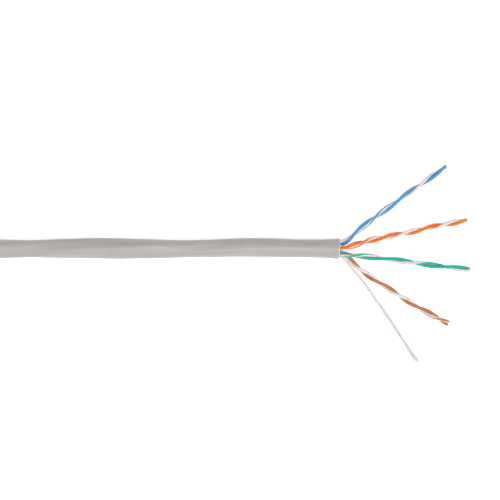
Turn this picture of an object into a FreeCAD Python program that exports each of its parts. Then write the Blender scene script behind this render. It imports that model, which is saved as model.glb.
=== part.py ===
"""Stripped end of a round four-pair network cable, every wire, core and cord its own solid.

Millimetres. The origin is the centre of the jacket's open mouth, +X runs out of the mouth along
the bared pairs, -X back along the jacket, +Z is up from the table the cable lies on.
"""

import FreeCAD, Part

import math
import os

# Wires: solid copper in solid polyethylene, two to a pair.
CONDUCTOR_DIAMETER = 0.51
CONDUCTOR_CLEARANCE = 0.006
INSULATION_DIAMETER = 0.88
WIRE_GAP = 0.025
COPPER_SHOWING = 0.15
CORNERS_PER_TURN = 10

# Jacket: a PVC tube round the four pairs and the rip cord.
JACKET_LENGTH = 97.0
JACKET_WALL = 0.42
PAIR_GAP = 0.01
BORE_GAP = 0.045

# Rip cord: a round yarn in the valley between the green and the brown pair.
RIP_CORD_DIAMETER = 0.6
RIP_CORD_CORNER_SPACING = 8.0
RIP_CORD_ENTRY_RUNS = (7.0, 4.0)

# The four pairs turn together, once in CABLING_LAY, and reach the mouth at MOUTH_ANGLE.
CABLING_LAY = 180.0
CABLING_CORNER_SPACING = 9.5
MOUTH_ANGLE = -30.0
MOUTH_CORNER = 2.0

# Share of the shorter run that a corner's arc uses on each side.
CORNER_SHARE = 0.45

# Each pair: its lay, how far outside the mouth its coloured wire first lies on top, its quarter
# of the jacket, and the fanned-out route as (along, across, lift). Along and across are in pair
# radii. Lift is 0 for a pair lying on the table and 1 for one level with its place in the jacket.
PAIRS = {
    "blue": {
        "lay": 15.6,
        "coloured_on_top": 4.9,
        "quarter": 0,
        "route": [
            (1.75, 1.35, 1.0),
            (5.2, 4.9, 0.6),
            (10.6, 9.35, 0.0),
            (17.3, 14.1, 0.0),
            (24.3, 19.1, 0.0),
            (32.6, 25.1, 0.0),
        ],
    },
    "orange": {
        "lay": 11.6,
        "coloured_on_top": 1.5,
        "quarter": 1,
        "route": [
            (1.75, 0.5, 1.0),
            (4.5, 1.0, 0.9),
            (8.3, 2.3, 0.45),
            (13.6, 3.3, 0.0),
            (19.6, 4.5, 0.0),
            (26.0, 6.0, 0.0),
            (32.3, 7.3, 0.0),
            (39.0, 8.7, 0.0),
        ],
    },
    "green": {
        "lay": 17.6,
        "coloured_on_top": 12.8,
        "quarter": 2,
        "route": [
            (1.9, -1.33, 1.0),
            (4.5, -1.95, 0.85),
            (8.4, -2.5, 0.4),
            (14.1, -3.3, 0.0),
            (21.6, -4.2, 0.0),
            (30.2, -5.4, 0.0),
            (39.8, -6.6, 0.0),
        ],
    },
    "brown": {
        "lay": 13.1,
        "coloured_on_top": 14.6,
        "quarter": 3,
        "route": [
            (1.75, -0.95, 0.65),
            (4.9, -4.9, 0.0),
            (10.0, -9.1, 0.0),
            (15.6, -12.8, 0.0),
            (21.6, -16.5, 0.0),
            (27.4, -20.0, 0.0),
            (33.3, -23.0, 0.0),
        ],
    },
}

# The rip cord's route outside the mouth: along and across in pair radii, lift as above.
RIP_CORD_ROUTE = [
    (0.72, -2.04, 1.0),
    (1.7, -2.66, 0.85),
    (2.65, -4.3, 0.45),
    (4.35, -7.0, 0.1),
    (7.4, -10.5, 0.0),
    (10.3, -14.4, 0.0),
    (14.2, -19.9, 0.0),
    (18.6, -26.7, 0.0),
    (24.0, -35.2, 0.0),
]

# Fits that follow from the sizes above.
twist_radius = (INSULATION_DIAMETER + WIRE_GAP) / 2
corner_radius = twist_radius / math.cos(math.pi / CORNERS_PER_TURN)
pair_radius = corner_radius + INSULATION_DIAMETER / 2
quarter_turn = math.pi / 2
ring_radius = (pair_radius + PAIR_GAP / 2) / math.sin(quarter_turn / 2)
bore_radius = ring_radius + pair_radius + BORE_GAP
jacket_radius = bore_radius + JACKET_WALL
table_z = -jacket_radius
conductor_radius = CONDUCTOR_DIAMETER / 2
conductor_hole_radius = conductor_radius + CONDUCTOR_CLEARANCE
rip_cord_radius = RIP_CORD_DIAMETER / 2
valley_radius = bore_radius - rip_cord_radius - BORE_GAP


def on_ring(x, radius, angle):
    """Point at x on a helix of the cabling lay that passes the mouth at the given angle."""
    turned = angle - 2 * math.pi * x / CABLING_LAY
    return FreeCAD.Vector(x, radius * math.cos(turned), radius * math.sin(turned))


def fan_points(route, mouth_point, radius):
    """The hand-set route outside the mouth, its height between the table and mouth_point."""
    rest_z = table_z + radius
    points = []
    for along, across, lift in route:
        z = rest_z + lift * (mouth_point.z - rest_z)
        points.append(FreeCAD.Vector(along * pair_radius, across * pair_radius, z))
    return points


def pair_centreline(pair):
    """Smooth line midway between a pair's wires, from the far cut to the free tips."""
    angle = math.radians(MOUTH_ANGLE) + pair["quarter"] * quarter_turn
    inside = JACKET_LENGTH - MOUTH_CORNER
    runs = max(2, round(inside / CABLING_CORNER_SPACING))
    spacing = inside / runs
    half_step = math.pi * spacing / CABLING_LAY
    poles = []
    for i in range(runs + 1):
        x = -JACKET_LENGTH + i * spacing
        poles.append(on_ring(x, ring_radius / math.cos(half_step), angle))
    poles += fan_points(pair["route"], on_ring(0, ring_radius, angle), pair_radius)
    curve = Part.BSplineCurve()
    curve.buildFromPoles(poles, False, 2)
    return curve.toShape()


def wire_corners(pair, half_turn):
    """Corner points of one wire twisted round its pair's centreline, left-handed."""
    line = pair_centreline(pair)
    turns = line.Length / pair["lay"]
    steps = round(turns * CORNERS_PER_TURN)
    on_top = JACKET_LENGTH + pair["coloured_on_top"]
    corners = []
    for i in range(steps + 1):
        run = line.Length * i / steps
        parameter = line.getParameterByLength(run)
        centre = line.valueAt(parameter)
        ahead = line.tangentAt(parameter)
        left = FreeCAD.Vector(0, 0, 1).cross(ahead).normalize()
        up = ahead.cross(left)
        angle = quarter_turn - 2 * math.pi * (run - on_top) / pair["lay"] + half_turn
        offset = left * math.cos(angle) + up * math.sin(angle)
        corners.append(centre + offset * corner_radius)
    # The far end is cut square across the jacket, so the first run lies along X.
    corners[0] = FreeCAD.Vector(-JACKET_LENGTH, corners[1].y, corners[1].z)
    return corners


def rounded_path(corners, overrun=0.0):
    """Straight runs joined by tangent arcs, and the tightest arc's radius."""
    edges = []
    tightest = math.inf
    start = corners[0]
    for before, corner, after in zip(corners, corners[1:], corners[2:]):
        back = before - corner
        ahead = after - corner
        cut = CORNER_SHARE * min(back.Length, ahead.Length)
        back.normalize()
        ahead.normalize()
        half_turn = (math.pi - back.getAngle(ahead)) / 2
        radius = cut / math.tan(half_turn)
        inward = (back + ahead).normalize()
        middle = corner + inward * (radius / math.cos(half_turn) - radius)
        edges.append(Part.LineSegment(start, corner + back * cut).toShape())
        start = corner + ahead * cut
        edges.append(Part.Arc(edges[-1].Vertexes[-1].Point, middle, start).toShape())
        tightest = min(tightest, radius)
    ending = corners[-1] - corners[-2]
    ending.normalize()
    edges.append(Part.LineSegment(start, corners[-1] + ending * overrun).toShape())
    return Part.Wire(edges), tightest


def swept_round(path, radius):
    """Solid of round section along a path, its first end cut square across the jacket."""
    start = path.Edges[0].Vertexes[0].Point
    section = Part.Wire(Part.Circle(start, FreeCAD.Vector(1, 0, 0), radius).toShape())
    return path.makePipe(Part.Face(section))


def save(shape, node):
    """One STEP file per piece."""
    solid = shape.Solids[0]
    solid.exportStep("parts/" + node + ".step")
    print(f"{node:22s} valid {solid.isValid()} faces {len(solid.Faces)} volume {solid.Volume:.3f}")


os.makedirs("parts", exist_ok=True)
print(f"twist {twist_radius:.3f} pair {pair_radius:.3f} ring {ring_radius:.3f}")
print(f"bore {bore_radius:.3f} jacket {jacket_radius:.3f} valley {valley_radius:.3f}")

# Jacket: a plain extruded tube, cut square at both ends.
far_end = FreeCAD.Vector(-JACKET_LENGTH, 0, 0)
along = FreeCAD.Vector(1, 0, 0)
tube = Part.makeCylinder(jacket_radius, JACKET_LENGTH, far_end, along)
tube = tube.cut(Part.makeCylinder(bore_radius, JACKET_LENGTH, far_end, along))
save(tube, "jacket")

# Pairs: in each a coloured and a white wire half a turn apart, copper inside insulation.
for name, pair in PAIRS.items():
    for wire, half_turn in ((name, 0.0), ("white_" + name, math.pi)):
        corners = wire_corners(pair, half_turn)
        path, tightest = rounded_path(corners)
        core_path, _ = rounded_path(corners, COPPER_SHOWING)
        hole = swept_round(path, conductor_hole_radius)
        insulation = swept_round(path, INSULATION_DIAMETER / 2).cut(hole)
        core = swept_round(core_path, conductor_radius)
        save(insulation, wire + "_insulation")
        save(core, wire + "_core")
        ratio = core.Volume / (math.pi * conductor_radius**2 * core_path.Length)
        print(f"  length {path.Length:.1f} tightest arc {tightest:.2f} volume ratio {ratio:.4f}")

# Rip cord: one yarn laid in with the pairs, pulled out to the side at the mouth.
valley_angle = math.radians(MOUTH_ANGLE) + 2.5 * quarter_turn
laid = JACKET_LENGTH - sum(RIP_CORD_ENTRY_RUNS) - MOUTH_CORNER / 2
laid_runs = max(2, round(laid / RIP_CORD_CORNER_SPACING))
stations = [-JACKET_LENGTH + laid * i / laid_runs for i in range(laid_runs + 1)]
for entry_run in RIP_CORD_ENTRY_RUNS:
    stations.append(stations[-1] + entry_run)
corners = [on_ring(x, valley_radius, valley_angle) for x in stations]
corners += fan_points(RIP_CORD_ROUTE, on_ring(0, valley_radius, valley_angle), rip_cord_radius)
path, tightest = rounded_path(corners)
rip_cord = swept_round(path, rip_cord_radius)
save(rip_cord, "rip_cord")
ratio = rip_cord.Volume / (math.pi * rip_cord_radius**2 * path.Length)
print(f"  length {path.Length:.1f} tightest arc {tightest:.2f} volume ratio {ratio:.4f}")
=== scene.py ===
import math
import random

import bmesh
import bpy
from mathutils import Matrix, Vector, noise


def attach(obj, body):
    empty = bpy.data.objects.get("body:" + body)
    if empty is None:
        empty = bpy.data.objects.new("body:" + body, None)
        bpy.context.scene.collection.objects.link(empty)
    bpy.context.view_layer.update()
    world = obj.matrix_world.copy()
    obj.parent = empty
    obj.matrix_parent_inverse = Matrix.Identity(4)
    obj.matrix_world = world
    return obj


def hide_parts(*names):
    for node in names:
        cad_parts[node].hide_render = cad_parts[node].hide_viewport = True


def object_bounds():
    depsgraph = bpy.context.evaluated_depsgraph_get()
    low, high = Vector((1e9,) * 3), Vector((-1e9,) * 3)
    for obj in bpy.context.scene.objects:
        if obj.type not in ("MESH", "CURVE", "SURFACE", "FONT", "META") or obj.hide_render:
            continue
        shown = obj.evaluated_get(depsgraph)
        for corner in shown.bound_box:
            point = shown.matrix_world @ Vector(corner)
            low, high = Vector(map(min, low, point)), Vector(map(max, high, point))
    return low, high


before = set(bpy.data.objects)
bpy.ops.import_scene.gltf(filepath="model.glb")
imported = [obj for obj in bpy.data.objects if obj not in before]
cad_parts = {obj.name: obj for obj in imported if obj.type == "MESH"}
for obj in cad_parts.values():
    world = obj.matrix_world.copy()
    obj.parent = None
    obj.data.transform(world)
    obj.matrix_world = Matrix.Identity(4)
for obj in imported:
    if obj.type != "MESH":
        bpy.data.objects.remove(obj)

cad_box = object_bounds()
bpy.ops.object.select_all(action="DESELECT")
MM = 0.001

# Camera: hung straight above the cable on a long lens, the cable running across the view and the
# fanned-out pairs at its right.
VIEW_WIDTH = 140 * MM
VIEW_CENTRE = (-25.2 * MM, -0.45 * MM)
LENS = 100.0
SENSOR = 36.0
CLIP_START = 0.01
bpy.ops.object.camera_add(
    location=(*VIEW_CENTRE, VIEW_WIDTH * LENS / SENSOR),
    rotation=(0.0, 0.0, 0.0),
)
camera = bpy.context.object
camera.data.lens = LENS
camera.data.sensor_width = SENSOR
camera.data.clip_start = CLIP_START
bpy.context.scene.camera = camera


# Cable line: the line the grey jacket is drawn round. It lies almost straight on the table, with
# the slight wander of a soft cable that has come off a reel.
JACKET_LENGTH = 97 * MM
TABLE_Z = cad_box[0][2]
CABLE_LINE_MM = [
    (-97.0, -0.10),
    (-90.0, -0.14),
    (-80.0, -0.06),
    (-70.0, 0.06),
    (-60.0, -0.06),
    (-51.0, -0.14),
    (-42.0, -0.12),
    (-34.0, 0.04),
    (-28.0, 0.28),
    (-21.0, 0.22),
    (-14.0, 0.10),
    (-7.0, -0.04),
    (0.0, -0.12),
]


def route(name, points, steps):
    """Points read from the smooth NURBS line that has the route's points as its controls."""
    curve = bpy.data.curves.new(name, "CURVE")
    curve.dimensions = "3D"
    curve.resolution_u = steps
    spline = curve.splines.new("NURBS")
    spline.points.add(len(points) - 1)
    for control, point in zip(spline.points, points):
        control.co = (*point, 1.0)
    spline.order_u = 3
    spline.use_endpoint_u = True
    holder = bpy.data.objects.new(name, curve)
    bpy.context.collection.objects.link(holder)
    mesh = bpy.data.meshes.new_from_object(holder)
    line = [vertex.co.copy() for vertex in mesh.vertices]
    bpy.data.meshes.remove(mesh)
    bpy.data.objects.remove(holder)
    bpy.data.curves.remove(curve)
    return line


def spaced(line, spacing):
    """The same line as points an even distance apart, each with the direction it runs in."""
    runs = [0.0]
    for before, after in zip(line, line[1:]):
        runs.append(runs[-1] + (after - before).length)
    count = max(2, round(runs[-1] / spacing))
    places = []
    k = 0
    for i in range(count + 1):
        run = runs[-1] * i / count
        while k < len(line) - 2 and runs[k + 1] < run:
            k += 1
        share = (run - runs[k]) / max(runs[k + 1] - runs[k], 1e-12)
        ahead = (line[k + 1] - line[k]).normalized()
        places.append((run, line[k].lerp(line[k + 1], share), ahead))
    return places


def directions(line):
    """Direction at each point of a line, taken from the point before it to the point after."""
    last = len(line) - 1
    return [(line[min(i + 1, last)] - line[max(i - 1, 0)]).normalized() for i in range(last + 1)]


def sideways(ahead):
    """Unit vectors to the left of a direction and above it."""
    left = Vector((0.0, 0.0, 1.0)).cross(ahead).normalized()
    return left, ahead.cross(left)


def table_value(table, x):
    """Value read from a given table of (place, value), eased between its rows."""
    if x <= table[0][0]:
        return table[0][1]
    for (x0, v0), (x1, v1) in zip(table, table[1:]):
        if x <= x1:
            share = (x - x0) / (x1 - x0)
            share = share * share * (3.0 - 2.0 * share)
            return v0 + (v1 - v0) * share
    return table[-1][1]


def tube_of(name, rings, uvs):
    """Tube through a list of rings of points, the last ring joined back to the first."""
    around = len(rings[0])
    mesh = bpy.data.meshes.new(name)
    verts = [point for ring in rings for point in ring]
    faces = []
    corners = []
    count = len(rings)
    for i in range(count):
        j = (i + 1) % count
        for k in range(around):
            n = (k + 1) % around
            faces.append((i * around + k, i * around + n, j * around + n, j * around + k))
            u0, v0 = uvs[i]
            u1, v1 = uvs[j]
            a, b = k / around, (k + 1) / around
            corners += [(a - u0, v0), (b - u0, v0), (b - u1, v1), (a - u1, v1)]
    mesh.from_pydata(verts, [], faces)
    layer = mesh.uv_layers.new(name="UVMap")
    for loop, corner in zip(layer.data, corners):
        loop.uv = corner
    mesh.polygons.foreach_set("use_smooth", [True] * len(faces))
    mesh.update()
    piece = bpy.data.objects.new(name, mesh)
    bpy.context.collection.objects.link(piece)
    return piece


# Jacket: a soft PVC tube extruded over the four pairs. It is thin enough for the pairs to show
# through as four low ridges that wind slowly along it, and it opens a little at the cut mouth.
JACKET_WALL = 0.42 * MM
CABLING_LAY = 180 * MM
RIDGE_PHASE_X = -19 * MM
JACKET_AROUND = 96
JACKET_STEP = 0.35 * MM
LIP = 0.10 * MM
LIP_PROFILE = [
    (0.3 * LIP, 0.25 * LIP),
    (LIP, 0.0),
    (JACKET_WALL - LIP, 0.0),
    (JACKET_WALL - 0.3 * LIP, 0.25 * LIP),
]

# Along the jacket, in mm from the mouth: its mean radius, then how high its ridges stand.
JACKET_SIZE_MM = [
    (-97.0, 2.62),
    (-87.0, 2.58),
    (-76.0, 2.67),
    (-64.0, 2.77),
    (-53.0, 2.66),
    (-42.0, 2.54),
    (-30.0, 2.55),
    (-19.0, 2.58),
    (-11.0, 2.50),
    (-6.0, 2.58),
    (-3.0, 2.70),
    (0.0, 2.88),
]
RIDGE_HEIGHT_MM = [
    (-97.0, 0.13),
    (-64.0, 0.14),
    (-42.0, 0.12),
    (-19.0, 0.07),
    (-8.0, 0.04),
    (0.0, 0.0),
]
MOUTH_SLANT = 0.045
MOUTH_SHIFT = -0.14 * MM
MOUTH_REACH = 6 * MM
PAIR_RADIUS = 0.916 * MM
RING_RADIUS = 1.302 * MM
PAIR_CLEARANCE = 0.05 * MM
MOUTH_ANGLE = math.radians(-30.0)
UNEVEN_MM = 0.045
UNEVEN_PER_MM = 0.12
UNEVEN_AROUND = 1.1
UNEVEN_FINE_MM = 0.014
UNEVEN_FINER = 3.7


def pairs_reach(angle, x):
    """How far out from the cable's line the four pairs reach in one direction."""
    quarter = math.pi / 2.0
    off = angle - MOUTH_ANGLE + 2.0 * math.pi * x / CABLING_LAY
    off = (off + quarter / 2.0) % quarter - quarter / 2.0
    reach = PAIR_RADIUS + PAIR_CLEARANCE
    aside = RING_RADIUS * math.sin(off)
    return RING_RADIUS * math.cos(off) + math.sqrt(max(0.0, reach**2 - aside**2))


def new_material(name):
    """Material with a Principled shader: the material, its nodes, its links and its shader."""
    material = bpy.data.materials.new(name)
    material.use_nodes = True
    nodes = material.node_tree.nodes
    return material, nodes, material.node_tree.links, nodes["Principled BSDF"]


def add_noise(nodes, links, vector, scale, detail):
    """Noise texture laid out by a vector output."""
    texture = nodes.new("ShaderNodeTexNoise")
    texture.inputs["Scale"].default_value = scale
    texture.inputs["Detail"].default_value = detail
    links.new(vector, texture.inputs["Vector"])
    return texture.outputs["Fac"]


def add_shades(nodes, links, fac, first, last):
    """Colour ramp over a noise, from a first to a last (position, colour)."""
    shade = nodes.new("ShaderNodeValToRGB")
    for stop, (position, colour) in zip(shade.color_ramp.elements, (first, last)):
        stop.position = position
        stop.color = (*colour, 1.0)
    links.new(fac, shade.inputs["Fac"])
    return shade


def vary_roughness(nodes, links, fac, low, high):
    """The shader's roughness moved between two values by a noise."""
    polish = nodes.new("ShaderNodeMapRange")
    polish.inputs["To Min"].default_value = low
    polish.inputs["To Max"].default_value = high
    links.new(fac, polish.inputs["Value"])
    links.new(polish.outputs["Result"], nodes["Principled BSDF"].inputs["Roughness"])


def add_grain(nodes, links, fac, strength, depth):
    """Fine bump on the shader, its height given by a noise."""
    grain = nodes.new("ShaderNodeBump")
    grain.inputs["Strength"].default_value = strength
    grain.inputs["Distance"].default_value = depth
    links.new(fac, grain.inputs["Height"])
    links.new(grain.outputs["Normal"], nodes["Principled BSDF"].inputs["Normal"])


def jacket_ring(centre, inset, setback):
    """Ring of the jacket's wall at a depth below its outer face, set back from the mouth."""
    x_mm = centre.x / MM
    size = table_value(JACKET_SIZE_MM, x_mm)
    ridge = table_value(RIDGE_HEIGHT_MM, x_mm)
    turned = -2.0 * math.pi * (centre.x - RIDGE_PHASE_X) / CABLING_LAY
    mouth = max(0.0, 1.0 + centre.x / MOUTH_REACH) ** 2
    ring = []
    for k in range(JACKET_AROUND):
        angle = 2.0 * math.pi * k / JACKET_AROUND
        seat = Vector((
            x_mm * UNEVEN_PER_MM,
            math.cos(angle) * UNEVEN_AROUND,
            math.sin(angle) * UNEVEN_AROUND,
        ))
        uneven = UNEVEN_MM * noise.noise(seat) + UNEVEN_FINE_MM * noise.noise(seat * UNEVEN_FINER)
        radius = (size + ridge * math.cos(4.0 * (angle - turned)) + uneven) * MM - inset
        if inset > JACKET_WALL / 2.0:
            radius = max(radius, pairs_reach(angle, centre.x))
        y = radius * math.cos(angle)
        z = radius * math.sin(angle)
        x = centre.x + mouth * (MOUTH_SHIFT + MOUTH_SLANT * y) - setback
        ring.append([x, centre.y + y, z])
    low = -min(point[2] for point in ring)
    rest = -TABLE_Z - inset
    for point in ring:
        if point[2] < 0.0 and low > rest:
            point[2] *= rest / low
    return [Vector(point) for point in ring]


line_points = [(x * MM, y * MM, 0.0) for x, y in CABLE_LINE_MM]
cable_line = route("cable_line", line_points, steps=12)
cable_places = spaced(cable_line, JACKET_STEP)
end_run, end_centre, _ = cable_places[-1]
rings = []
uvs = []
for run, centre, _ in cable_places:
    rings.append(jacket_ring(centre, 0.0, LIP if run == end_run else 0.0))
    uvs.append((0.0, run))
for inset, setback in LIP_PROFILE:
    rings.append(jacket_ring(end_centre, inset, setback))
    uvs.append((0.0, end_run + inset))
for run, centre, _ in reversed(cable_places):
    rings.append(jacket_ring(centre, JACKET_WALL, LIP if run == end_run else 0.0))
    uvs.append((0.0, run))
jacket = tube_of("grey_jacket", rings, uvs)

JACKET_GREY = (0.437, 0.415, 0.399)
JACKET_GREY_DARK = (0.408, 0.388, 0.373)
JACKET_GREY_LIGHT = (0.462, 0.439, 0.422)
# The jacket's cut face and its last 0.35 mm at the mouth are painted a paler grey: a painted
# highlight for light falling on the cut end.
CUT_EDGE_PAINTED_HIGHLIGHT = (0.640, 0.615, 0.600)
CUT_EDGE_HIGHLIGHT_WIDTH = 0.35 * MM
jacket_pvc, nodes, links, shader = new_material("grey_pvc")
shader.inputs["Specular IOR Level"].default_value = 0.42
place = nodes.new("ShaderNodeTexCoord")
drawn_out = nodes.new("ShaderNodeMapping")
drawn_out.inputs["Scale"].default_value = (0.25, 1.0, 1.0)
links.new(place.outputs["Object"], drawn_out.inputs["Vector"])
mottle = add_noise(nodes, links, drawn_out.outputs["Vector"], scale=420.0, detail=6.0)
shade = add_shades(nodes, links, mottle, (0.30, JACKET_GREY_DARK), (0.72, JACKET_GREY_LIGHT))
shade.color_ramp.elements.new(0.5).color = (*JACKET_GREY, 1.0)
along = nodes.new("ShaderNodeSeparateXYZ")
links.new(place.outputs["UV"], along.inputs["Vector"])
# Painted highlight: the paler grey is mixed in over the last 0.35 mm before the cut end.
cut_edge_highlight = nodes.new("ShaderNodeMapRange")
cut_edge_highlight.inputs["From Min"].default_value = JACKET_LENGTH - CUT_EDGE_HIGHLIGHT_WIDTH
cut_edge_highlight.inputs["From Max"].default_value = JACKET_LENGTH
links.new(along.outputs["Y"], cut_edge_highlight.inputs["Value"])
painted_lip_highlight = nodes.new("ShaderNodeMix")
painted_lip_highlight.data_type = "RGBA"
painted_lip_highlight.inputs["B"].default_value = (*CUT_EDGE_PAINTED_HIGHLIGHT, 1.0)
links.new(cut_edge_highlight.outputs["Result"], painted_lip_highlight.inputs["Factor"])
links.new(shade.outputs["Color"], painted_lip_highlight.inputs["A"])
links.new(painted_lip_highlight.outputs["Result"], shader.inputs["Base Color"])
vary_roughness(nodes, links, mottle, low=0.36, high=0.52)
skin = add_noise(nodes, links, place.outputs["Object"], scale=5200.0, detail=4.0)
add_grain(nodes, links, skin, strength=0.22, depth=0.03 * MM)
jacket.data.materials.append(jacket_pvc)
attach(jacket, "root")
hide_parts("jacket")


# Wires: solid copper in smooth coloured polyethylene. In each pair a coloured and a white wire
# are twisted together left-handed, each pair with a lay of its own, and the pairs fan out flat.
COPPER_RADIUS = 0.255 * MM
COPPER_HOLE_RADIUS = 0.261 * MM
WIRE_RADIUS = 0.448 * MM
WIRE_GAP = 0.012 * MM
COPPER_SHOWING = 0.22 * MM
CLEARNESS = 0.10
CLEAR_DEPTH = 0.4 * MM
CLOUD_DARKER = 0.86
CLOUD_LIGHTER = 1.08
STRIPE_EDGE = 0.78
STRIPE_FADE = 0.07
STRIPE_RAGGED = 0.22
STRIPE_COVER = 0.97
TIP_ROUNDING = [(1.00, 0.10 * MM), (0.97, 0.03 * MM), (0.90, 0.0)]
HOLE_DIP = 0.02 * MM
CORE_NIP = [(1.00, 0.75), (0.93, 1.00), (0.45, 1.08)]
CORE_SQUASH = 0.96
WIRE_STEP = 0.34 * MM
WIRE_AROUND = 22
CORE_AROUND = 12
INSIDE_RUNS = 10
MOUTH_CORNER = 2 * MM

# Each pair: lay and place of the coloured wire's first crossing in mm, quarter of the jacket,
# fanned-out route in pair radii (lift 0 lies on the table, 1 is level with the jacket's pair),
# and where the white wire's stripe faces: (mm outside the mouth, degrees from left, over the top).
PAIRS = {
    "blue": {
        "lay": 15.6,
        "coloured_on_top": 4.9,
        "quarter": 0,
        "route": [
            (1.6, 1.75, 1.0),
            (5.0, 4.9, 0.6),
            (10.6, 9.35, 0.0),
            (17.3, 14.1, 0.0),
            (24.3, 19.1, 0.0),
            (32.6, 25.1, 0.0),
        ],
        "stripe": [(0, 230), (9, 160), (12.5, 90), (16, 25), (24, -80), (30, -180), (33, -225),
                   (39, -265)],
    },
    "orange": {
        "lay": 11.6,
        "coloured_on_top": 1.5,
        "quarter": 1,
        "route": [
            (1.6, 0.1, 1.0),
            (4.5, 1.0, 0.9),
            (8.3, 2.3, 0.45),
            (13.6, 3.3, 0.0),
            (19.6, 4.5, 0.0),
            (26.0, 6.0, 0.0),
            (32.3, 7.3, 0.0),
            (39.0, 8.7, 0.0),
        ],
        "stripe": [(0, 190), (5, 135), (7.5, 80), (9.2, 20), (13, -70), (23, -70), (26, 5),
                   (28, 20), (30.5, -60), (34, -115), (39, -100)],
    },
    "green": {
        "lay": 17.6,
        "coloured_on_top": 12.8,
        "quarter": 2,
        "route": [
            (1.5, -1.9, 1.0),
            (4.2, -2.2, 0.85),
            (8.4, -2.5, 0.4),
            (14.1, -3.3, 0.0),
            (21.6, -4.2, 0.0),
            (30.2, -5.4, 0.0),
            (39.8, -6.6, 0.0),
        ],
        "stripe": [(0, 175), (4.1, 95), (8, 20), (13, -60), (22, -190), (26, -265), (36, -440)],
    },
    "brown": {
        "lay": 13.1,
        "coloured_on_top": 14.4,
        "quarter": 3,
        "route": [
            (1.5, -1.6, 0.5),
            (4.65, -5.25, 0.0),
            (10.0, -9.1, 0.0),
            (15.6, -12.8, 0.0),
            (21.6, -16.5, 0.0),
            (27.4, -20.0, 0.0),
            (33.3, -23.0, 0.0),
        ],
        "stripe": [(0, 300), (12, 270), (24, 245), (31.5, 160), (34.7, 90), (37.5, 30)],
    },
}


def on_ring(x, radius, angle):
    """Point at x on the slow left-handed helix that the pairs take inside the jacket."""
    turned = angle - 2.0 * math.pi * x / CABLING_LAY
    return Vector((x, radius * math.cos(turned), radius * math.sin(turned)))


def fan_points(hand_points, mouth_point, radius):
    """The given route outside the mouth, between the table and the height at the mouth."""
    rest_z = TABLE_Z + radius
    points = []
    for along, across, lift in hand_points:
        z = rest_z + lift * (mouth_point.z - rest_z)
        points.append(Vector((along * PAIR_RADIUS, across * PAIR_RADIUS, z)))
    return points


def cable_y(x):
    """How far the cable's line lies to one side at x."""
    if x >= 0.0:
        return 0.0
    nearest = min(cable_places, key=lambda found: abs(found[1].x - x))
    return nearest[1].y


def pair_places(name):
    """Evenly spaced places on the line midway between a pair's two wires."""
    pair = PAIRS[name]
    angle = MOUTH_ANGLE + pair["quarter"] * math.pi / 2.0
    inside = JACKET_LENGTH - MOUTH_CORNER
    half_step = math.pi * inside / INSIDE_RUNS / CABLING_LAY
    points = []
    for i in range(INSIDE_RUNS + 1):
        x = -JACKET_LENGTH + inside * i / INSIDE_RUNS
        point = on_ring(x, RING_RADIUS / math.cos(half_step), angle)
        point.y += cable_y(x)
        points.append(point)
    points += fan_points(pair["route"], on_ring(0.0, RING_RADIUS, angle), PAIR_RADIUS)
    return spaced(route(name + "_pair_line", points, steps=24), WIRE_STEP)


def twisted_line(name, half_turn):
    """Places along one wire of a pair, wound round the pair's line."""
    pair = PAIRS[name]
    on_top = JACKET_LENGTH + pair["coloured_on_top"] * MM
    twist_radius = WIRE_RADIUS + WIRE_GAP / 2.0
    runs = []
    line = []
    for run, centre, ahead in pair_places(name):
        left, up = sideways(ahead)
        angle = math.pi / 2.0 - 2.0 * math.pi * (run - on_top) / (pair["lay"] * MM) + half_turn
        runs.append(run)
        line.append(centre + (left * math.cos(angle) + up * math.sin(angle)) * twist_radius)
    ways = directions(line)
    ways[0] = Vector((1.0, 0.0, 0.0))
    return list(zip(runs, line, ways))


def tube_ring(centre, ahead, radius, around, lean=0.0, squash=1.0, turned=0.0):
    """Ring of points round a place on a wire, its face leaned over by a side cutter."""
    left, up = sideways(ahead)
    ring = []
    for k in range(around):
        angle = 2.0 * math.pi * k / around + turned
        side = left * math.cos(angle) + up * math.sin(angle) * squash
        ring.append(centre + side * radius + ahead * (radius * lean * math.sin(angle)))
    return ring


def stripe_turn(stripe, run):
    """Share of a turn from the wire's left at which its stripe lies, at a run along the wire."""
    return table_value(stripe, (run - JACKET_LENGTH) / MM) / 360.0


def insulation(name, places, stripe, lean):
    """Insulating tube along a wire's places, its outer edge rounded over at the cut tip."""
    rings = []
    uvs = []
    for run, centre, ahead in places[:-1]:
        rings.append(tube_ring(centre, ahead, WIRE_RADIUS, WIRE_AROUND))
        uvs.append((stripe_turn(stripe, run), run))
    run, centre, ahead = places[-1]
    rounding = [(share * WIRE_RADIUS, back) for share, back in TIP_ROUNDING]
    for radius, back in rounding + [(COPPER_HOLE_RADIUS, HOLE_DIP)]:
        rings.append(tube_ring(centre - ahead * back, ahead, radius, WIRE_AROUND, lean))
        uvs.append((stripe_turn(stripe, run), run - back))
    for run, centre, ahead in reversed(places[:-1]):
        rings.append(tube_ring(centre, ahead, COPPER_HOLE_RADIUS, WIRE_AROUND))
        uvs.append((stripe_turn(stripe, run), run))
    return tube_of(name, rings, uvs)


def add_solid(mesh, rings):
    """Skin through a list of rings of points, closed at both ends, added to an edit mesh."""
    loops = [[mesh.verts.new(point) for point in ring] for ring in rings]
    for before, after in zip(loops, loops[1:]):
        for k in range(len(before)):
            n = (k + 1) % len(before)
            mesh.faces.new((before[k], before[n], after[n], after[k])).smooth = True
    mesh.faces.new(list(reversed(loops[0])))
    mesh.faces.new(loops[-1])


def piece_of(name, mesh):
    """Object made of an edit mesh, its faces turned outward."""
    bmesh.ops.recalc_face_normals(mesh, faces=mesh.faces)
    data = bpy.data.meshes.new(name)
    mesh.to_mesh(data)
    mesh.free()
    piece = bpy.data.objects.new(name, data)
    bpy.context.collection.objects.link(piece)
    return piece


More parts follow.
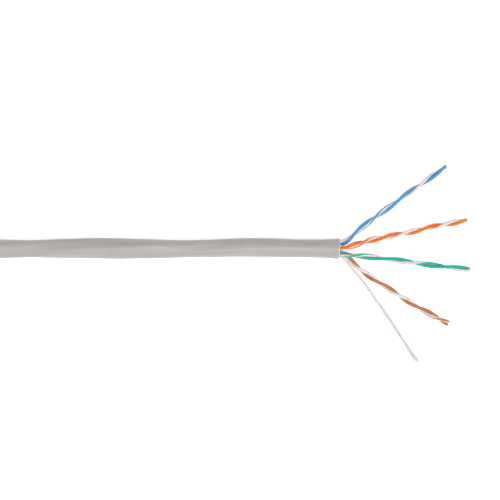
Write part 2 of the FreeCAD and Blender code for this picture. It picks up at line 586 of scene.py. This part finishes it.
def copper_core(name, places, lean):
    """Solid copper wire inside the insulation, standing a little proud at the cut tip."""
    rings = []
    for _, centre, ahead in places:
        rings.append(tube_ring(centre, ahead, COPPER_RADIUS, CORE_AROUND))
    _, centre, ahead = places[-1]
    for share, out in CORE_NIP:
        nipped = centre + ahead * (COPPER_SHOWING * out)
        radius = share * COPPER_RADIUS
        rings.append(tube_ring(nipped, ahead, radius, CORE_AROUND, lean, CORE_SQUASH))
    mesh = bmesh.new()
    add_solid(mesh, rings)
    return piece_of(name, mesh)


def polyethylene(name, colour, stripe_colour=None):
    """Smooth extruded polyethylene, with a lengthwise stripe where one is given."""
    material, nodes, links, shader = new_material(name)
    shader.inputs["Specular IOR Level"].default_value = 0.4
    shader.inputs["Subsurface Weight"].default_value = CLEARNESS
    shader.inputs["Subsurface Scale"].default_value = CLEAR_DEPTH
    place = nodes.new("ShaderNodeTexCoord")
    cloud = add_noise(nodes, links, place.outputs["Object"], scale=700.0, detail=5.0)
    darker = [CLOUD_DARKER * c for c in colour]
    lighter = [min(1.0, CLOUD_LIGHTER * c) for c in colour]
    body = add_shades(nodes, links, cloud, (0.32, darker), (0.70, lighter))
    finish = body.outputs["Color"]
    if stripe_colour is not None:
        split = nodes.new("ShaderNodeSeparateXYZ")
        links.new(place.outputs["UV"], split.inputs["Vector"])
        turn = nodes.new("ShaderNodeMath")
        turn.operation = "MULTIPLY"
        turn.inputs[1].default_value = 2.0 * math.pi
        links.new(split.outputs["X"], turn.inputs[0])
        facing = nodes.new("ShaderNodeMath")
        facing.operation = "COSINE"
        links.new(turn.outputs["Value"], facing.inputs[0])
        ragged = add_noise(nodes, links, place.outputs["Object"], scale=2600.0, detail=3.0)
        edge = nodes.new("ShaderNodeMath")
        edge.operation = "MULTIPLY_ADD"
        edge.inputs[1].default_value = STRIPE_RAGGED
        links.new(ragged, edge.inputs[0])
        links.new(facing.outputs["Value"], edge.inputs[2])
        inked = nodes.new("ShaderNodeMapRange")
        inked.interpolation_type = "SMOOTHSTEP"
        inked.inputs["From Min"].default_value = STRIPE_EDGE - STRIPE_FADE
        inked.inputs["From Max"].default_value = STRIPE_EDGE + STRIPE_FADE
        inked.inputs["To Max"].default_value = STRIPE_COVER
        links.new(edge.outputs["Value"], inked.inputs["Value"])
        stripe = nodes.new("ShaderNodeMix")
        stripe.data_type = "RGBA"
        stripe.inputs["B"].default_value = (*stripe_colour, 1.0)
        links.new(inked.outputs["Result"], stripe.inputs["Factor"])
        links.new(finish, stripe.inputs["A"])
        finish = stripe.outputs["Result"]
    links.new(finish, shader.inputs["Base Color"])
    vary_roughness(nodes, links, cloud, low=0.24, high=0.42)
    scuffs = add_noise(nodes, links, place.outputs["Object"], scale=9000.0, detail=3.0)
    add_grain(nodes, links, scuffs, strength=0.15, depth=0.01 * MM)
    return material


COPPER_DULL = (0.72, 0.30, 0.15)
COPPER_BRIGHT = (0.98, 0.56, 0.36)
copper, nodes, links, shader = new_material("bare_copper")
shader.inputs["Metallic"].default_value = 1.0
place = nodes.new("ShaderNodeTexCoord")
tarnish = add_noise(nodes, links, place.outputs["Object"], scale=6000.0, detail=2.0)
shade = add_shades(nodes, links, tarnish, (0.0, COPPER_DULL), (1.0, COPPER_BRIGHT))
links.new(shade.outputs["Color"], shader.inputs["Base Color"])
vary_roughness(nodes, links, tarnish, low=0.18, high=0.38)

WIRE_WHITE = (0.800, 0.712, 0.694)
WIRE_COLOURS = {
    "blue": (0.070, 0.320, 0.665),
    "orange": (0.960, 0.170, 0.008),
    "green": (0.008, 0.425, 0.345),
    "brown": (0.520, 0.185, 0.052),
}
CUTTER_LEANS = {"blue": 0.35, "orange": -0.25, "green": 0.30, "brown": 0.45}
for name, colour in WIRE_COLOURS.items():
    for wire, half_turn in ((name, 0.0), ("white_" + name, math.pi)):
        places = twisted_line(name, half_turn)
        lean = CUTTER_LEANS[name]
        tube = insulation(wire + "_wire", places, PAIRS[name]["stripe"], lean)
        if half_turn:
            tube.data.materials.append(polyethylene(wire, WIRE_WHITE, colour))
        else:
            tube.data.materials.append(polyethylene(wire, colour))
        core = copper_core(wire + "_copper", places, lean)
        core.data.materials.append(copper)
        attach(tube, "root")
        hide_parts(wire + "_insulation")
        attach(core, "root")
        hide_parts(wire + "_core")


# Rip cord: a flat undyed polyester yarn laid in beside the pairs for tearing the jacket open. It
# is a loose bundle of filaments that spreads and frays where it was cut.
RIP_CORD_RADIUS = 0.30 * MM
VALLEY_RADIUS = 1.70 * MM
VALLEY_ANGLE = MOUTH_ANGLE + 2.5 * math.pi / 2.0
RIP_CORD_INSIDE_RUNS = 11
RIP_CORD_ENTRY_X_MM = (-12.0, -5.0, -1.0)

# Its fanned-out route, in pair radii and with lifts like the pairs' own.
RIP_CORD_ROUTE = [
    (0.6, -2.45, 0.9),
    (1.6, -3.85, 0.5),
    (2.97, -5.33, 0.10),
    (4.9, -7.4, 0.0),
    (7.65, -10.5, 0.0),
    (10.2, -14.4, 0.0),
    (14.2, -19.9, 0.0),
    (18.6, -26.7, 0.0),
    (24.0, -35.2, 0.0),
]
YARN_STEP = 0.5 * MM
YARN_HALF_WIDTH = 0.30 * MM
YARN_HALF_HEIGHT = 0.12 * MM
STRANDS = 22
STRAND_RADIUS = 0.066 * MM
STRAND_AROUND = 6
STRAND_TAPER = 0.5
STRAND_SPIN = math.radians(137.5)
STRAND_STRAY = 0.20
STRAY_PER_MM = 0.35
STRAY_PER_STRAND = 3.1
STRAND_SHORTER_MM = (-0.01, 0.9)
STRAND_SPLAY = (0.85, 1.25)
FRAY_FILAMENTS = 44
FILAMENT_RADIUS = 0.027 * MM
FILAMENT_AROUND = 5
FILAMENT_SWING = (-0.3, 1.5)
FILAMENT_BOW_MM = (-0.25, 0.25)
FILAMENT_OVER_MM = (-0.6, 0.5)
FILAMENT_BEGIN = (-0.8, 0.8)
FILAMENT_LIFT = 0.1 * MM
FILAMENT_RISE = 0.25 * MM
FRAY_RUN = 5.0 * MM
FRAY_SPLAY = 0.8
FRAY_ASIDE = 0.16 * MM
FRAY_REACH = 2.1
YARN_TURN = 26 * MM
YARN_SEED = 7
FLAT_ON_TABLE_X = 3 * MM
YARN_LIES_FLAT_MM = [(-3.0, 0.0), (2.0, 1.0)]
YARN_SPREADS_MM = [(-3.0, 0.88), (3.2, 1.0), (6.0, 1.35), (16.0, 1.60)]

points = []
laid_to = RIP_CORD_ENTRY_X_MM[0] * MM
for i in range(RIP_CORD_INSIDE_RUNS):
    x = -JACKET_LENGTH + (laid_to + JACKET_LENGTH) * i / RIP_CORD_INSIDE_RUNS
    points.append(on_ring(x, VALLEY_RADIUS, VALLEY_ANGLE))
for x_mm in RIP_CORD_ENTRY_X_MM:
    points.append(on_ring(x_mm * MM, VALLEY_RADIUS, VALLEY_ANGLE))
for point in points:
    point.y += cable_y(point.x)
points += fan_points(RIP_CORD_ROUTE, on_ring(0.0, VALLEY_RADIUS, VALLEY_ANGLE), RIP_CORD_RADIUS)
yarn_places = spaced(route("rip_cord_line", points, steps=24), YARN_STEP)
yarn_run = yarn_places[-1][0]


def yarn_sides(centre, ahead):
    """Sideways and upward for the flat yarn: against the bore in the jacket, flat on the table."""
    share = table_value(YARN_LIES_FLAT_MM, centre.x / MM)
    inside = VALLEY_ANGLE - 2.0 * math.pi * centre.x / CABLING_LAY
    angle = inside + (math.pi / 2.0 - inside) * share
    up = Vector((0.0, math.cos(angle), math.sin(angle)))
    up = (up - ahead * up.dot(ahead)).normalized()
    return up.cross(ahead), up


def add_strand(mesh, line, radius, around, turned):
    """Thin filament through a list of points, tapered at its end, added to the yarn's mesh."""
    radii = [radius] * (len(line) - 1) + [radius * STRAND_TAPER]
    rings = []
    for point, ahead, thick in zip(line, directions(line), radii):
        rings.append(tube_ring(point, ahead, thick, around, turned=turned))
    add_solid(mesh, rings)


draw = random.Random(YARN_SEED)
yarn = bmesh.new()
for i in range(STRANDS):
    spin = i * STRAND_SPIN
    reach = math.sqrt((i + 0.5) / STRANDS)
    stop = yarn_run - draw.uniform(*STRAND_SHORTER_MM) * MM
    splay = draw.uniform(*STRAND_SPLAY)
    line = []
    for run, centre, ahead in yarn_places:
        if run > stop:
            break
        left, up = yarn_sides(centre, ahead)
        fray = max(0.0, 1.0 - (yarn_run - run) / FRAY_RUN)
        angle = spin - 2.0 * math.pi * run / YARN_TURN
        seat = Vector((run / MM * STRAY_PER_MM, i * STRAY_PER_STRAND, 0.0))
        stray = STRAND_STRAY * noise.noise(seat)
        side = YARN_HALF_WIDTH * (reach * math.cos(angle) + stray)
        side *= 1.0 + FRAY_SPLAY * splay * fray**1.5
        side *= table_value(YARN_SPREADS_MM, centre.x / MM)
        side += FRAY_ASIDE * fray**2
        lift = YARN_HALF_HEIGHT * reach * math.sin(angle)
        point = centre + left * side + up * lift
        if centre.x > FLAT_ON_TABLE_X:
            point.z += YARN_HALF_HEIGHT + STRAND_RADIUS - RIP_CORD_RADIUS
            point.z = max(point.z, TABLE_Z + STRAND_RADIUS)
        line.append(point)
    add_strand(yarn, line, STRAND_RADIUS, STRAND_AROUND, spin)
tip_places = [found for found in yarn_places if found[0] > yarn_run - FRAY_RUN]
for i in range(FRAY_FILAMENTS):
    start = draw.randint(0, len(tip_places) // 2)
    swing = draw.uniform(*FILAMENT_SWING)
    bow = draw.uniform(*FILAMENT_BOW_MM) * MM
    over = draw.uniform(*FILAMENT_OVER_MM) * MM
    begin = draw.uniform(*FILAMENT_BEGIN)
    line = []
    run_from = tip_places[start][0]
    for run, centre, ahead in tip_places[start:]:
        left, up = sideways(ahead)
        grown = (run - run_from) / (yarn_run - run_from)
        side = YARN_HALF_WIDTH * (begin + (FRAY_REACH * swing - begin) * grown**1.6)
        side += bow * grown * (1.0 - grown)
        point = centre + left * side + ahead * (over * grown**2)
        lift = FILAMENT_LIFT + FILAMENT_RISE * abs(swing) * grown * (1.2 - grown)
        point.z = TABLE_Z + FILAMENT_RADIUS + lift
        line.append(point)
    add_strand(yarn, line, FILAMENT_RADIUS, FILAMENT_AROUND, swing)
rip_cord = piece_of("rip_cord_yarn", yarn)

POLYESTER_SHADED = (0.70, 0.62, 0.595)
POLYESTER_PALE = (0.86, 0.775, 0.75)
polyester, nodes, links, shader = new_material("undyed_polyester")
shader.inputs["Sheen Weight"].default_value = 0.3
place = nodes.new("ShaderNodeTexCoord")
fuzz = add_noise(nodes, links, place.outputs["Object"], scale=3800.0, detail=4.0)
shade = add_shades(nodes, links, fuzz, (0.30, POLYESTER_SHADED), (0.65, POLYESTER_PALE))
links.new(shade.outputs["Color"], shader.inputs["Base Color"])
vary_roughness(nodes, links, fuzz, low=0.45, high=0.70)
add_grain(nodes, links, fuzz, strength=0.3, depth=0.02 * MM)
rip_cord.data.materials.append(polyester)
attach(rip_cord, "root")
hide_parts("rip_cord")


# Table and light: a white table, one soft lamp on the near side, one beyond the wires' tips, a
# wide one overhead and an even white room.
TABLE_WIDTH = 4.0
TABLE_GLOW = 0.50
ROOM_LIGHT = 0.37
WHITE = (1.0, 1.0, 1.0, 1.0)
bpy.ops.mesh.primitive_plane_add(size=TABLE_WIDTH, location=(0.0, 0.0, TABLE_Z))
table = bpy.context.object
table.name = "table"
table_white, _, _, shader = new_material("white_table")
shader.inputs["Base Color"].default_value = (0.90, 0.90, 0.90, 1.0)
shader.inputs["Emission Color"].default_value = WHITE
shader.inputs["Emission Strength"].default_value = TABLE_GLOW
shader.inputs["Roughness"].default_value = 0.8
shader.inputs["Specular IOR Level"].default_value = 0.2
table.data.materials.append(table_white)


def soft_lamp(name, place, size, power):
    """Square soft lamp facing the cable."""
    light = bpy.data.lights.new(name, "AREA")
    light.shape = "SQUARE"
    light.size = size
    light.energy = power
    lamp = bpy.data.objects.new(name, light)
    lamp.location = place
    lamp.rotation_euler = (-Vector(place)).to_track_quat("-Z", "Y").to_euler()
    bpy.context.collection.objects.link(lamp)


soft_lamp("near_lamp", place=(0.05, -0.29, 0.76), size=0.24, power=2.9)
soft_lamp("end_lamp", place=(0.60, -0.20, 0.36), size=0.40, power=1.2)
soft_lamp("overhead_lamp", place=(-0.05, 0.0, 0.95), size=0.50, power=1.9)
room = bpy.data.worlds.new("white_room")
room.use_nodes = True
background = room.node_tree.nodes["Background"]
background.inputs["Color"].default_value = WHITE
background.inputs["Strength"].default_value = ROOM_LIGHT
bpy.context.scene.world = room
bpy.context.scene.view_settings.view_transform = "Standard"
